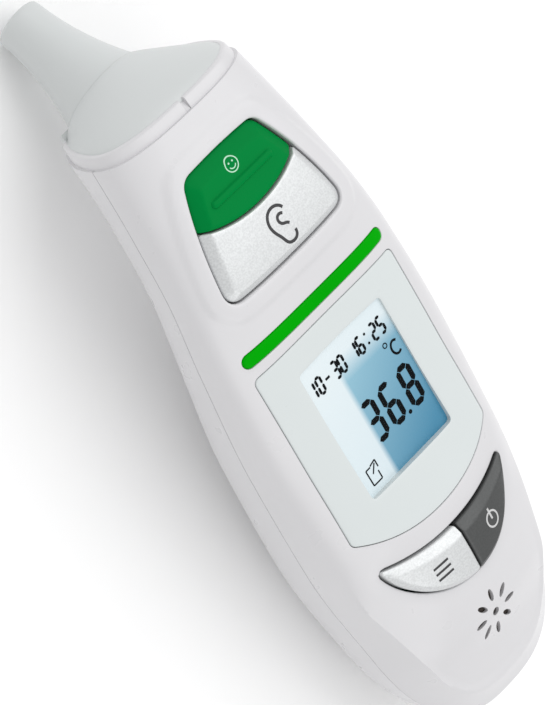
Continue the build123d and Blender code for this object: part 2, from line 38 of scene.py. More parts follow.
# ---------------------------------------------------------------- driving dimensions
SEAM = 0.06                   # half the gap between the casing's halves
TAIL_Y = -61.7
TAIL_START_Y = -40.0
TAIL_POWER = 2.6
HEAD_Y = 57.4
HALF_WIDTH = [(-62, 17.0), (-40, 19.5), (-20, 21.8), (0, 22.17), (20, 21.2), (40, 18.5), (60, 15.8)]
CROWN_Z = [(-62, -6.9), (-50, -3.0), (-43, -0.3), (-30, 1.2), (-12, 0.7), (0, 0.2), (18, 0.2), (29, 0.1),
           (51, -2.7), (60, -4.0)]
PARTING_Z = [(-62, -9.0), (-30, -10.5), (0, -9.0), (30, -7.0), (45, -9.0), (60, -12.3)]
BACK_DEPTH = [(-62, 13.5), (-30, 17.3), (0, 16.4), (30, 14.0), (45, 14.4), (60, 17.8)]
FRONT_POWER = [(-62, 2.5), (-40, 2.6), (-17, 3.0), (17, 3.6), (40, 3.4), (60, 2.5)]
BACK_POWER = [(-62, 2.6), (-30, 2.8), (0, 2.7), (30, 2.3), (60, 1.95)]
CREST = [(-62, 0.86), (-58, 0.84), (-52, 0.79), (-47, 0.79), (-43, 0.82), (-37, 0.87), (-27, 0.93),
         (60, 0.93)]
SIDE_ROOM = 4.0               # how much longer the flat pattern is than the plan, at the sides
LCD_MIDDLE_Z = -4.15
DISPLAY_Z = -0.5              # where the visible face of the display lies
SIGHT_SHIFT = (0.4, -0.38)    # moves the display's marks, which lie below the lens
MOUTH_POINTS = 88             # points across each casing half's open end
SHIELD_BOTTOM = (14.0, 29.6)  # corners and sides of the two main buttons' outline
SHIELD_SIDE = (12.1, 39.6)
SHIELD_TOP = (8.2, 49.7)
SHIELD_CORNER = 2.6
SPLIT_MIDDLE = (0, 65.39)     # arc between the forehead button and the ear button
SPLIT_RADIUS = 26.09
CRESCENT_TIP = (15.496, -23.484)
SPEAKER_Y = -45.0
PETAL_COUNT = 8
BAR_Y = 20.5
BAR_RADIUS = 1.15
BAR_HALF_LENGTH = 17.1
CASE_SCREWS = [(-9.5, -51.0), (9.5, -51.0), (-15.4, 24.7), (15.4, 24.7)]
SCREW_RECESS_RADIUS = 2.3
SCREW_RECESS_FLOOR_Z = -13.0
DOOR = (12.4, -47.0, 6.0)     # half width, lower end and upper end of the battery cover
DOOR_GAP = 0.2
DOOR_WALL = 1.8
CONE_LEAN = math.radians(40.2)
CONE_BASE = (60.3, -24.0)     # Y and Z of the middle of the cone's base circle
CONE_LENGTH = 18.4
CONE_BASE_RADIUS = 8.0
TIP_RADIUS = 4.35
TIP_ROUND = 0.9
TIP_BORE_RADIUS = 2.75
COLLAR_INSET = 1.2            # how far the head starts inside the casing's outline
VIEW_FROM = (-0.456, 0.4281, 0.7802)
VIEW_RIGHT = (0.6297, -0.4645, 0.6229)
VIEW_UP = (0.6290, 0.7754, -0.0578)
VIEW_MIDDLE = (-15.98, 7.33)
VIEW_DISTANCE = 760.0
LENS_MM = 244.5


# ---------------------------------------------------------------- curves and surfaces
def along(stations, y):
    """Values at y on the smooth curve through (y, value) stations."""
    ys, vs = np.array(stations, float).T
    steps = np.diff(vs) / np.diff(ys)
    product = steps[:-1] * steps[1:]
    total = np.where(np.abs(steps[:-1] + steps[1:]) < 1e-9, 1.0, steps[:-1] + steps[1:])
    inner = np.where(product <= 0, 0.0, 2 * product / total)
    grades = np.concatenate([steps[:1], inner, steps[-1:]])
    y = np.asarray(y, float)
    i = np.clip(np.searchsorted(ys, y) - 1, 0, len(ys) - 2)
    span = ys[i + 1] - ys[i]
    t = (y - ys[i]) / span
    return (vs[i] * (1 + 2 * t) * (1 - t) ** 2 + grades[i] * span * t * (1 - t) ** 2
            + vs[i + 1] * t * t * (3 - 2 * t) + grades[i + 1] * span * t * t * (t - 1))


def smooth(t):
    t = np.clip(t, 0.0, 1.0)
    return t * t * (3 - 2 * t)


def arch(rho, power):
    return np.clip(1 - np.clip(rho, 0, 1) ** power, 0, 1) ** (1 / power)


def plan_norm(x, y):
    """0 on the middle line, 1 on the outline."""
    tail = np.maximum(TAIL_START_Y - y, 0) / (TAIL_START_Y - TAIL_Y)
    return (np.abs(x / along(HALF_WIDTH, y)) ** TAIL_POWER + tail ** TAIL_POWER) ** (1 / TAIL_POWER)


def crown_height(x, y):
    """Front surface without its local features."""
    rho = plan_norm(x, y)
    power = along(FRONT_POWER, y)
    base = along(PARTING_Z, y) + SEAM
    rise = along(CROWN_Z, y) - along(PARTING_Z, y) - SEAM
    crest = along(CREST, y)
    crest_q = arch(crest, power)
    inner = 1 - (1 - crest_q) * np.clip(rho / crest, 0, 1) ** 2.2
    outer = crest_q * (1 - np.clip(rho, 0, 1)) / (1 - crest)
    creased = np.where(rho < crest, inner, outer)
    weight = smooth((-20 - y) / 12)
    q = arch(rho, power) * (1 - weight) + creased * weight
    dish = 0.35 * smooth((0.82 - rho) / 0.08) * smooth((-36 - y) / 10)
    return base + rise * q - dish


def back_height(x, y):
    """Rear surface, with the facet that the thermometer rests on."""
    z = along(PARTING_Z, y) - SEAM - along(BACK_DEPTH, y) * arch(plan_norm(x, y), along(BACK_POWER, y))
    return np.maximum(z, (GROUND_Z - y * math.sin(PITCH)) / math.cos(PITCH))


def ledge_plane(z):
    """Where the plane behind the probe's ledge lies along Y, at height z."""
    return CONE_BASE[0] + (-1.75 + (z - CONE_BASE[1]) * math.sin(CONE_LEAN)) / math.cos(CONE_LEAN)


def mouth_limit(z):
    """How far towards the probe the rear shell reaches at height z."""
    return np.minimum(HEAD_Y, ledge_plane(z))


def to_pattern(x, y, power):
    """Plan position to flat pattern, in which the steep sides are laid out flat."""
    x, y = np.asarray(x, float), np.asarray(y, float)
    width = along(HALF_WIDTH, y)
    rho = np.maximum(plan_norm(x, y), 1e-9)
    n = along(power, y)
    g = 1 - np.arctan2(arch(rho, n), rho) / (math.pi / 2)
    tail = y < TAIL_START_Y
    tail_width = along(HALF_WIDTH, TAIL_START_Y)
    spread = np.where(tail, tail_width, width) + SIDE_ROOM
    length = TAIL_START_Y - TAIL_Y
    px = g * spread * (x / width) / rho
    py = np.where(tail, TAIL_START_Y + (length + SIDE_ROOM) * g * ((y - TAIL_START_Y) / length) / rho, y)
    return px, py


def from_pattern(px, py, power):
    """Flat pattern to plan position."""
    length = TAIL_START_Y - TAIL_Y
    tail = py < TAIL_START_Y
    spread = np.where(tail, along(HALF_WIDTH, TAIL_START_Y), along(HALF_WIDTH, py)) + SIDE_ROOM
    u = px / spread
    v = np.where(tail, (py - TAIL_START_Y) / (length + SIDE_ROOM), 0.0)
    g = np.maximum((np.abs(u) ** TAIL_POWER + np.abs(v) ** TAIL_POWER) ** (1 / TAIL_POWER), 1e-9)
    phi = (1 - np.minimum(g, 1.0)) * math.pi / 2
    y = np.where(tail, TAIL_START_Y + v * length, py)
    for _ in range(6):
        n = along(power, y)
        c, s = np.maximum(np.cos(phi), 0), np.maximum(np.sin(phi), 0)
        rho = c * (c ** n + s ** n) ** (-1 / n)
        y = np.where(tail, TAIL_START_Y + length * rho * v / g, py)
    return rho * along(HALF_WIDTH, y) * u / g, y


# ---------------------------------------------------------------- outlines in plan
def arc(start, middle, end, count=40):
    """Points on the circle arc through three points."""
    (ax, ay), (bx, by), (cx, cy) = start, middle, end
    d = 2 * (ax * (by - cy) + bx * (cy - ay) + cx * (ay - by))
    sa, sb, sc = ax * ax + ay * ay, bx * bx + by * by, cx * cx + cy * cy
    ox = (sa * (by - cy) + sb * (cy - ay) + sc * (ay - by)) / d
    oy = (sa * (cx - bx) + sb * (ax - cx) + sc * (bx - ax)) / d
    radius = math.hypot(ax - ox, ay - oy)
    angles = [math.atan2(p[1] - oy, p[0] - ox) for p in (start, middle, end)]
    turn = (angles[2] - angles[0]) % (2 * math.pi)
    if (angles[1] - angles[0]) % (2 * math.pi) > turn:
        turn -= 2 * math.pi
    a = angles[0] + turn * np.linspace(0, 1, count)
    return np.stack([ox + radius * np.cos(a), oy + radius * np.sin(a)], 1)


def resample(points, step):
    """Evenly spaced points on a polyline, both ends kept."""
    points = np.asarray(points, float)
    run = np.concatenate([[0], np.cumsum(np.linalg.norm(np.diff(points, axis=0), axis=1))])
    count = max(2, int(round(run[-1] / step)) + 1)
    at = np.linspace(0, run[-1], count)
    return np.stack([np.interp(at, run, points[:, 0]), np.interp(at, run, points[:, 1])], 1)


def rounded(chains, radius, step=0.3):
    """Closed loop of chains joined end to end, with its corners rounded."""
    chains = [resample(c, 0.05) for c in chains]
    pieces = []
    cuts = []
    for first, second in zip(chains, chains[1:] + chains[:1]):
        u = first[-1] - first[-4]
        v = second[3] - second[0]
        cosine = np.clip(u @ v / np.linalg.norm(u) / np.linalg.norm(v), -1, 1)
        cuts.append(max(1, int(round(radius * math.tan(math.acos(cosine) / 2) / 0.05))))
    for i, chain in enumerate(chains):
        before, after = cuts[i - 1], cuts[i]
        pieces.append(chain[before:len(chain) - after])
        following = chains[(i + 1) % len(chains)]
        a, corner, b = chain[-1 - after], chain[-1], following[after]
        s = np.linspace(0, 1, 24)[:, None]
        pieces.append((1 - s) ** 2 * a + 2 * s * (1 - s) * corner + s * s * b)
    loop = resample(np.concatenate(pieces + [pieces[0][:1]]), step)
    return loop[:-1]


def offset_loop(loop, distance):
    """Closed loop, moved outwards by distance."""
    tangent = np.roll(loop, -1, 0) - np.roll(loop, 1, 0)
    normal = np.stack([tangent[:, 1], -tangent[:, 0]], 1)
    normal /= np.linalg.norm(normal, axis=1)[:, None]
    area = np.sum(loop[:, 0] * np.roll(loop[:, 1], -1) - np.roll(loop[:, 0], -1) * loop[:, 1])
    return loop + normal * distance * (1 if area > 0 else -1)


def inside(points, loop):
    """True for the points inside a closed loop."""
    x, y = points[:, 0], points[:, 1]
    found = np.zeros(len(points), bool)
    for (ax, ay), (bx, by) in zip(loop, np.roll(loop, -1, 0)):
        if ay != by:
            crossing = (ay > y) != (by > y)
            found ^= crossing & (x < (bx - ax) * (y - ay) / (by - ay) + ax)
    return found


def reach(points, curve):
    """Distance from each point to a polyline."""
    best = np.full(len(points), 1e9)
    for a, b in zip(curve[:-1], curve[1:]):
        d = b - a
        t = np.clip(((points - a) @ d) / max(d @ d, 1e-12), 0, 1)
        best = np.minimum(best, np.linalg.norm(points - a - t[:, None] * d, axis=1))
    return best


def closed(loop):
    return np.concatenate([loop, loop[:1]])


def circle(x, y, radius, count=48):
    a = np.linspace(0, 2 * math.pi, count, endpoint=False)
    return np.stack([x + radius * np.cos(a), y + radius * np.sin(a)], 1)


def mirrored(point):
    return (-point[0], point[1])


def shield_chains():
    bottom = arc(mirrored(SHIELD_BOTTOM), (0, 29.2), SHIELD_BOTTOM)
    right = arc(SHIELD_BOTTOM, SHIELD_SIDE, SHIELD_TOP)
    top = arc(SHIELD_TOP, (0, 50.1), mirrored(SHIELD_TOP))
    left = arc(mirrored(SHIELD_TOP), mirrored(SHIELD_SIDE), mirrored(SHIELD_BOTTOM))
    return [bottom, right, top, left]


def crescent_chains():
    lower = arc(mirrored(CRESCENT_TIP), (0, -35.5), CRESCENT_TIP, 80)
    upper = arc(CRESCENT_TIP, (0, -26.1), mirrored(CRESCENT_TIP), 80)
    return [lower, upper]


def lens_loop(step=0.3):
    bottom = arc((-17, -16.8), (0, -21.8), (17, -16.8))
    top = arc((17, 17.2), (0, 17.5), (-17, 17.2))
    right = np.array([(17, -16.8), (17, 17.2)], float)
    left = np.array([(-17, 17.2), (-17, -16.8)], float)
    return rounded([bottom, right, top, left], 1.2, step)


def window_loop(step=0.3):
    x, y = 10.15, 12.7
    sides = [np.array(s, float) for s in ([(-x, -y), (x, -y)], [(x, -y), (x, y)], [(-x, y), (-x, -y)])]
    return rounded([sides[0], sides[1], arc((x, y), (0, y + 0.35), (-x, y)), sides[2]], 0.9, step)


def bar_loop(grow=0.0, step=0.25):
    half, radius = BAR_HALF_LENGTH - BAR_RADIUS, BAR_RADIUS + grow
    right = arc((half, BAR_Y - radius), (half + radius, BAR_Y), (half, BAR_Y + radius))
    left = arc((-half, BAR_Y + radius), (-half - radius, BAR_Y), (-half, BAR_Y - radius))
    return resample(np.concatenate([right, left, right[:1]]), step)[:-1]


def petal_loops():
    loops = [circle(0, SPEAKER_Y, 0.75, 20)]
    for petal in range(PETAL_COUNT):
        turn = 2 * math.pi * petal / PETAL_COUNT
        a = np.linspace(0, 2 * math.pi, 28, endpoint=False)
        u, v = 3.6 + 1.25 * np.cos(a), 0.5 * np.sin(a)
        x = u * math.cos(turn) - v * math.sin(turn)
        y = u * math.sin(turn) + v * math.cos(turn) + SPEAKER_Y
        loops.append(np.stack([x, y], 1))
    return loops


# ---------------------------------------------------------------- triangulated sheets
def sheet(boundary, holes, lines, spacing):
    """Triangles that fill a boundary apart from its holes, with edges along the given lines.
    Returns points, triangles, and where each loop's points went."""
    loops = [boundary] + holes
    points, edges, spans = [], [], []
    for loop in loops:
        start = len(points)
        points += [tuple(p) for p in loop]
        spans.append((start, len(loop)))
        edges += [(start + i, start + (i + 1) % len(loop)) for i in range(len(loop))]
    for line in lines:
        start = len(points)
        points += [tuple(p) for p in line]
        edges += [(start + i, start + i + 1) for i in range(len(line) - 1)]
    tree = KDTree(len(points))
    for i, p in enumerate(points):
        tree.insert((p[0], p[1], 0), i)
    tree.balance()
    low, high = boundary.min(0), boundary.max(0)
    rows = np.arange(low[1], high[1], spacing * 0.866)
    grid = [(x + (spacing / 2 if r % 2 else 0), y) for r, y in enumerate(rows)
            for x in np.arange(low[0], high[0], spacing)]
    grid = np.array(grid)
    keep = inside(grid, boundary)
    for hole in holes:
        keep &= ~inside(grid, hole)
    for p in grid[keep]:
        if tree.find((p[0], p[1], 0))[2] > 0.6 * spacing:
            points.append(tuple(p))
    made = delaunay_2d_cdt([Vector(p) for p in points], edges, [], 0, 1e-6)
    flat = np.array([tuple(v) for v in made[0]])
    triangles = np.array([f for f in made[2] if len(f) == 3])
    middle = flat[triangles].mean(1)
    keep = inside(middle, boundary)
    for hole in holes:
        keep &= ~inside(middle, hole)
    went = {}
    for new, old in enumerate(made[3]):
        for index in old:
            went[index] = new
    indices = [[went[start + i] for i in range(count)] for start, count in spans]
    return flat, triangles[keep], indices


class Builder:
    """Collects vertices and faces in the design frame, then makes an object of them."""

    def __init__(self):
        self.verts = []
        self.faces = []

    def add(self, verts, faces):
        start = len(self.verts)
        self.verts += [tuple(map(float, v)) for v in verts]
        self.faces += [tuple(int(i) + start for i in f) for f in faces]

    def strip(self, first, second, close=True):
        """Band of quads between two rows of the same length."""
        n = len(first)
        count = n if close else n - 1
        rows = list(first) + list(second)
        self.add(rows, [(i, (i + 1) % n, n + (i + 1) % n, n + i) for i in range(count)])

    def make(self, name, sharp=40):
        mesh = bpy.data.meshes.new(name)
        mesh.from_pydata([tuple(PLACE @ (Vector(v) / 1000)) for v in self.verts], [], self.faces)
        mesh.update()
        obj = bpy.data.objects.new(name, mesh)
        bpy.context.scene.collection.objects.link(obj)
        mesh.shade_smooth()
        mesh.set_sharp_from_angle(angle=math.radians(sharp))
        return obj


def finish_piece(obj, material, body, nodes=()):
    obj.data.materials.clear()
    obj.data.materials.append(material)
    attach(obj, body)
    if nodes:
        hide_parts(*nodes)
    return obj


# ---------------------------------------------------------------- casing
def edge_round(distance, radius):
    """Drop of a rounded edge, at a distance from it."""
    near = np.clip(radius - distance, 0, radius)
    return radius - np.sqrt(np.maximum(radius * radius - near * near, 0))


def front_openings():
    shield = rounded(shield_chains(), SHIELD_CORNER, 0.25)
    crescent = rounded(crescent_chains(), 0.8, 0.25)
    return {"shield": offset_loop(shield, 0.34), "crescent": offset_loop(crescent, 0.32),
            "lens": offset_loop(lens_loop(), 0.12), "bar": bar_loop(0.08)}


def front_height(x, y):
    """Front surface with the raised pad round the main buttons, the dip round the small ones, and
    rounded edges at the openings."""
    x, y = np.asarray(x, float), np.asarray(y, float)
    points = np.column_stack([x, y])
    z = crown_height(x, y)
    openings = front_openings()
    shield = reach(points, closed(openings["shield"])[::2])
    crescent = reach(points, closed(openings["crescent"])[::2])
    z = z + 0.42 * smooth((3.4 - shield) / 0.7) - 0.25 * np.exp(-(crescent / 1.6) ** 2)
    z = z - edge_round(shield, 0.45) - edge_round(crescent, 0.4)
    z = z - edge_round(reach(points, closed(openings["lens"])), 0.15)
    return z - edge_round(reach(points, closed(openings["bar"])), 0.15)


def casing_boundary():
    """Outline of one casing half in its flat pattern."""
    rim = np.array([(1.0, y) for y in np.arange(HEAD_Y, TAIL_START_Y, -0.6)])
    right = np.column_stack([along(HALF_WIDTH, rim[:, 1]) + SIDE_ROOM, rim[:, 1]])
    a = np.linspace(0, math.pi, 150)
    wide = along(HALF_WIDTH, TAIL_START_Y) + SIDE_ROOM
    deep = TAIL_START_Y - TAIL_Y + SIDE_ROOM
    k = (np.abs(np.cos(a)) ** TAIL_POWER + np.abs(np.sin(a)) ** TAIL_POWER) ** (-1 / TAIL_POWER)
    tail = np.column_stack([wide * k * np.cos(a), TAIL_START_Y - deep * k * np.sin(a)])
    left = right[::-1] * (-1, 1)
    across = np.linspace(left[-1, 0], right[0, 0], MOUTH_POINTS + 2)[1:-1]
    top = np.column_stack([across, np.full(MOUTH_POINTS, HEAD_Y)])
    return np.concatenate([right, tail, left, top])


def crest_line():
    """Plan line of the crease round the lower end."""
    y = np.concatenate([np.arange(-24, -56, -0.5), np.linspace(-56, -58.6, 14)])
    tail = np.maximum(TAIL_START_Y - y, 0) / (TAIL_START_Y - TAIL_Y)
    room = np.maximum(along(CREST, y) ** TAIL_POWER - tail ** TAIL_POWER, 0)
    x = along(HALF_WIDTH, y) * room ** (1 / TAIL_POWER)
    right = np.column_stack([x, y])[x > 0.3]
    return resample(np.concatenate([right, right[::-1] * (-1, 1)]), 0.5)


def turned_edges(shell, rim, way, depth):
    """Turn a casing half's edge inwards along the seam and round its open end. way is 1 to turn the end
    upwards and -1 downwards, and depth is how far the end's inner wall reaches back."""
    lip = rim[:len(rim) - MOUTH_POINTS]
    shell.strip(lip, lip * (0.93, 0.985, 1), close=False)
    mouth = np.concatenate([rim[-MOUTH_POINTS - 1:], rim[:1]])
    inner = mouth * (0.88, 1, 1) + (0, 0, 1.6 * way)
    seam = along(PARTING_Z, HEAD_Y) - SEAM * way
    inner[:, 2] = way * np.minimum(way * inner[:, 2], way * seam)
    shell.strip(mouth, inner, close=False)
    shell.strip(inner, inner - (0, depth, 0), close=False)


def front_shell():
    openings = list(front_openings().values()) + petal_loops()
    pattern = [np.column_stack(to_pattern(*loop.T, FRONT_POWER)) for loop in openings]
    lines = [crest_line()]
    for loop, steps in zip(openings[:4], ((0.12, 0.25, 0.45), (0.12, 0.25, 0.4), (0.07, 0.15), (0.07, 0.15))):
        lines += [closed(offset_loop(loop, step)) for step in steps]
    lines = [np.column_stack(to_pattern(*line.T, FRONT_POWER)) for line in lines]
    flat, triangles, indices = sheet(casing_boundary(), pattern, lines, 0.62)
    x, y = from_pattern(flat[:, 0], flat[:, 1], FRONT_POWER)
    skin = np.column_stack([x, y, front_height(x, y)])
    shell = Builder()
    shell.add(skin, triangles)
    for loop in indices[1:]:
        edge = skin[loop]
        shell.strip(edge, edge - (0, 0, 2.2))
    turned_edges(shell, skin[indices[0]], -1, 4)
    return shell.make("casing_front")


def rear_plan(px, py):
    """Flat pattern to plan for the rear shell, whose mouth is cut at a slant."""
    x, y = from_pattern(px, py, BACK_POWER)
    end = np.full_like(y, HEAD_Y)
    start = 36.0
    for _ in range(8):
        end = 0.5 * end + 0.5 * mouth_limit(back_height(x, end))
        moved = np.where(y > start, start + (y - start) * (end - start) / (HEAD_Y - start), y)
        width = np.where(y > start, along(HALF_WIDTH, moved) / along(HALF_WIDTH, y), 1.0)
    return x * width, moved


def rectangle(x0, x1, y0, y1, step=0.5):
    corners = np.array([(x0, y0), (x1, y0), (x1, y1), (x0, y1), (x0, y0)], float)
    sides = [resample(corners[i:i + 2], step)[:-1] for i in range(4)]
    return np.concatenate(sides)


def rear_shell():
    x, y0, y1 = DOOR
    openings = [rectangle(-x - DOOR_GAP, x + DOOR_GAP, y0 - DOOR_GAP, y1 + DOOR_GAP)]
    openings += [circle(sx, sy, SCREW_RECESS_RADIUS, 36) for sx, sy in CASE_SCREWS]
    pattern = [np.column_stack(to_pattern(*loop.T, BACK_POWER)) for loop in openings]
    flat, triangles, indices = sheet(casing_boundary(), pattern, [], 0.75)
    px, py = rear_plan(flat[:, 0], flat[:, 1])
    skin = np.column_stack([px, py, back_height(px, py)])
    shell = Builder()
    shell.add(skin, triangles[:, ::-1])
    door = skin[indices[1]]
    shell.strip(door, door + (0, 0, 2.0))
    for loop in indices[2:]:
        edge = skin[loop]
        floor = edge.copy()
        floor[:, 2] = SCREW_RECESS_FLOOR_Z
        shell.strip(edge, floor)
    turned_edges(shell, skin[indices[0]], 1, 3)
    return shell.make("casing_rear")


def grip(x, y):
    """Thumb grooves across the battery cover."""
    drop = np.zeros_like(x)
    for step in range(4):
        d = np.abs(y - (-2.0 + 1.6 * step))
        drop += 0.5 * np.sqrt(np.clip(1 - (d / 0.7) ** 2, 0, 1)) * smooth((7 - np.abs(x)) / 0.8)
    return drop


def battery_cover():
    x, y0, y1 = DOOR
    loop = rectangle(-x, x, y0, y1)
    edges = [start + 1.6 * step for step in range(4) for start in (-2.7, -1.3)]
    grooves = [resample(np.array([(-7.5, y), (7.5, y)]), 0.4) for y in edges]
    flat, triangles, indices = sheet(loop, [], grooves, 0.5)
    top = np.column_stack([flat, back_height(*flat.T) + grip(*flat.T)])
    cover = Builder()
    cover.add(top, triangles[:, ::-1])
    edge = top[indices[0]]
    cover.strip(edge, edge + (0, 0, DOOR_WALL))
    under = np.column_stack([flat, back_height(*flat.T) + DOOR_WALL])
    cover.add(under, triangles)
    return cover.make("battery_lid")


# ---------------------------------------------------------------- probe
def on_cone(radius, distance, angle):
    """Point round the probe's axis, distance in front of its base circle."""
    along_axis = np.array((0, math.cos(CONE_LEAN), -math.sin(CONE_LEAN)))
    above_axis = np.array((0, math.sin(CONE_LEAN), math.cos(CONE_LEAN)))
    side = np.array((1.0, 0, 0))
    middle = np.array((0, *CONE_BASE))
    return middle + along_axis * distance + radius * (math.cos(angle) * side + math.sin(angle) * above_axis)


def mouth_point(angle, y, inset):
    """Point on the casing's section at y, shrunk by inset."""
    c, s = math.cos(angle), math.sin(angle)
    front = s >= 0
    n = float(along(FRONT_POWER if front else BACK_POWER, y))
    base = float(along(PARTING_Z, y))
    height = float(along(CROWN_Z, y)) - base if front else float(along(BACK_DEPTH, y))
    k = (abs(c) ** n + abs(s) ** n) ** (-1 / n)
    return np.array(((float(along(HALF_WIDTH, y)) - inset) * k * c, y, base + (height - inset) * k * s))


def head_start(angle):
    """Where the head leaves the casing's slanted mouth."""
    y = 58.6
    for _ in range(6):
        z = mouth_point(angle, y, COLLAR_INSET)[2]
        y = 0.5 * y + 0.5 * min(58.9, float(ledge_plane(z)) - 0.1)
    return mouth_point(angle, y, COLLAR_INSET)


def collar_point(angle, y, inset):
    """Point on the snap collar, which the slanted mouth cuts short underneath."""
    z = mouth_point(angle, y, inset)[2]
    y = min(y, float(ledge_plane(z)) - 0.05)
    notch = 0.9 if abs(angle - math.pi / 2) < 0.035 and y > 58.0 else 0.0
    return mouth_point(angle, y, inset + notch)


def snap_collar():
    """White collar beyond the casing's rim, with one small notch."""
    angles = np.sort(np.concatenate([np.linspace(0, 2 * math.pi, 150, endpoint=False),
                                     math.pi / 2 + np.array((-0.036, -0.034, 0.034, 0.036))]))
    profile = [(57.0, 0.5), (59.1, 0.5), (59.35, 0.6), (59.5, 0.85), (59.5, 1.3), (57.0, 1.5)]
    collar = Builder()
    rings(collar, [[collar_point(a, y, inset) for a in angles] for y, inset in profile])
    return collar.make("collar", sharp=50)


def rings(builder, rows):
    """Skin through closed rows of points, with vertices shared between neighbouring bands."""
    n = len(rows[0])
    verts = [p for row in rows for p in row]
    faces = [(r * n + i, r * n + (i + 1) % n, (r + 1) * n + (i + 1) % n, (r + 1) * n + i)
             for r in range(len(rows) - 1) for i in range(n)]
    builder.add(verts, faces)


def hermite(t, start, leave, end, arrive):
    """Point at t on the cubic between two points that has the given directions at its ends."""
    return ((2 * t ** 3 - 3 * t ** 2 + 1) * start + (t ** 3 - 2 * t ** 2 + t) * leave
            + (-2 * t ** 3 + 3 * t ** 2) * end + (t ** 3 - t ** 2) * arrive)


def head_rows(angles):
    """Rows from the mouth over the rounded head to the cone's base circle."""
    rows = []
    for t in np.linspace(0, 1, 18):
        row = []
        for a in angles:
            start, end = head_start(a), on_cone(CONE_BASE_RADIUS, 0.2, a)
            leave = np.array((0.35 * start[0] / 15, 5.5, 0.5 + 2.0 * max(math.sin(a), 0)))
            arrive = (end - on_cone(13.0, -1.0, a)) * 0.85
            row.append(hermite(t, start, leave, end, arrive))
        rows.append(row)
    return rows


def cone_profile():
    """(radius, distance) down the outside of the cone, round its tip and into its bore."""
    straight = CONE_LENGTH - TIP_ROUND
    flare = CONE_BASE_RADIUS - TIP_RADIUS
    outside = [(TIP_RADIUS + flare * ((CONE_LENGTH - d) / CONE_LENGTH) ** 2, d)
               for d in np.linspace(0.0, straight, 28)]
    corner = [(TIP_RADIUS - TIP_ROUND + TIP_ROUND * math.cos(a), straight + TIP_ROUND * math.sin(a))
              for a in np.linspace(0.15, math.pi / 2, 8)]
    bore = [(TIP_BORE_RADIUS + 0.15, CONE_LENGTH), (TIP_BORE_RADIUS, CONE_LENGTH - 0.15),
            (TIP_BORE_RADIUS, CONE_LENGTH - 1.0)]
    return outside + corner + bore


def probe_head():
    angles = np.linspace(0, 2 * math.pi, 120, endpoint=False)
    head = Builder()
    rings(head, head_rows(angles))
    rings(head, [[on_cone(r, d, a) for a in angles] for r, d in cone_profile()])
    ledge = [(7.6, 0.0), (10.0, 0.0), (10.2, -0.2), (10.2, -1.4), (10.0, -1.6), (7.6, -1.6)]
    lower = np.linspace(math.radians(188), math.radians(352), 70)
    rows = [[on_cone(r, d, a) for a in lower] for r, d in ledge]
    for first, second in zip(rows, rows[1:]):
        head.strip(first, second, close=False)
    for end in (0, -1):
        head.add([row[end] for row in rows], [tuple(range(len(rows)))])
    return head.make("probe_head", sharp=35)


# ---------------------------------------------------------------- buttons
class Key:
    """A button's top: chains of (points, bevel width, bevel drop) that close round it."""

    def __init__(self, chains, proud, radius=0.5, rib=None):
        self.chains = [(resample(c, 0.2), w, d) for c, w, d in chains]
        self.proud = proud
        self.rib = rib
        self.loop = rounded([c for c, _, _ in chains], radius, 0.2)

    def height(self, x, y):
        points = np.column_stack([x, y])
        drop = np.zeros(len(points))
        for chain, width, depth in self.chains:
            drop = np.maximum(drop, depth * np.clip(1 - reach(points, chain[::2]) / width, 0, 1))
        edge = reach(points, closed(self.loop))
        z = crown_height(x, y) + self.proud - drop - edge_round(edge, 0.18)
        if self.rib is not None:
            z = z + 0.46 * np.sqrt(np.clip(1 - (reach(points, self.rib) / 0.72) ** 2, 0, 1))
        return z

    def bevel_lines(self):
        lines = []
        for i, (chain, width, _) in enumerate(self.chains):
            tangent = np.gradient(chain, axis=0)
            normal = np.stack([-tangent[:, 1], tangent[:, 0]], 1)
            moved = chain + width * normal / np.linalg.norm(normal, axis=1)[:, None]
            keep = inside(moved, self.loop)
            for j, (other, other_width, _) in enumerate(self.chains):
                if j != i:
                    keep &= reach(moved, other) >= other_width
            if keep.sum() > 3:
                lines.append(moved[keep])
        return lines

    def make(self, name):
        lines = self.bevel_lines()
        lines += [closed(offset_loop(self.loop, -step)) for step in (0.08, 0.18)]
        if self.rib is not None:
            (ax, ay), (bx, by) = self.rib[0], self.rib[-1]
            for r in (0.72, 0.5):
                right = arc((bx, by - r), (bx + r, by), (bx, by + r), 16)
                left = arc((ax, ay + r), (ax - r, ay), (ax, ay - r), 16)
                lines.append(resample(np.concatenate([right, left, right[:1]]), 0.2))
        flat, triangles, indices = sheet(self.loop, [], lines, 0.34)
        top = np.column_stack([flat, self.height(*flat.T)])
        key = Builder()
        key.add(top, triangles)
        edge = top[indices[0]]
        key.strip(edge, edge - (0, 0, 2.4))
        return key.make(name, sharp=32)


def main_keys():
    """The forehead button above the split arc, and the ear button below it."""
    middle, radius = np.array(SPLIT_MIDDLE), SPLIT_RADIUS
    bottom, right, top, left = [resample(c, 0.1) for c in rounded_shield()]
    gap = 0.125

    def above(chain):
        return chain[np.linalg.norm(chain - middle, axis=1) < radius - gap]

    def below(chain):
        return chain[np.linalg.norm(chain - middle, axis=1) > radius + gap]

    ur, ul, lr, ll = above(right), above(left), below(right), below(left)
    upper_split = arc(tuple(ul[-1]), (0, middle[1] - radius + gap), tuple(ur[0]))
    lower_split = arc(tuple(lr[-1]), (0, middle[1] - radius - gap), tuple(ll[0]))
    rib = np.array([(-6.55, 44.1), (0, 44.1), (6.55, 44.1)])
    forehead_sides = [(upper_split, 0.5, 0.25), (ur, 2.2, 1.15), (top, 2.5, 1.2), (ul, 2.2, 1.15)]
    ear_sides = [(bottom, 1.3, 0.9), (lr, 1.3, 0.9), (lower_split, 0.3, 0.06), (ll, 1.6, 1.0)]
    return Key(forehead_sides, 0.65, rib=rib), Key(ear_sides, 0.84)


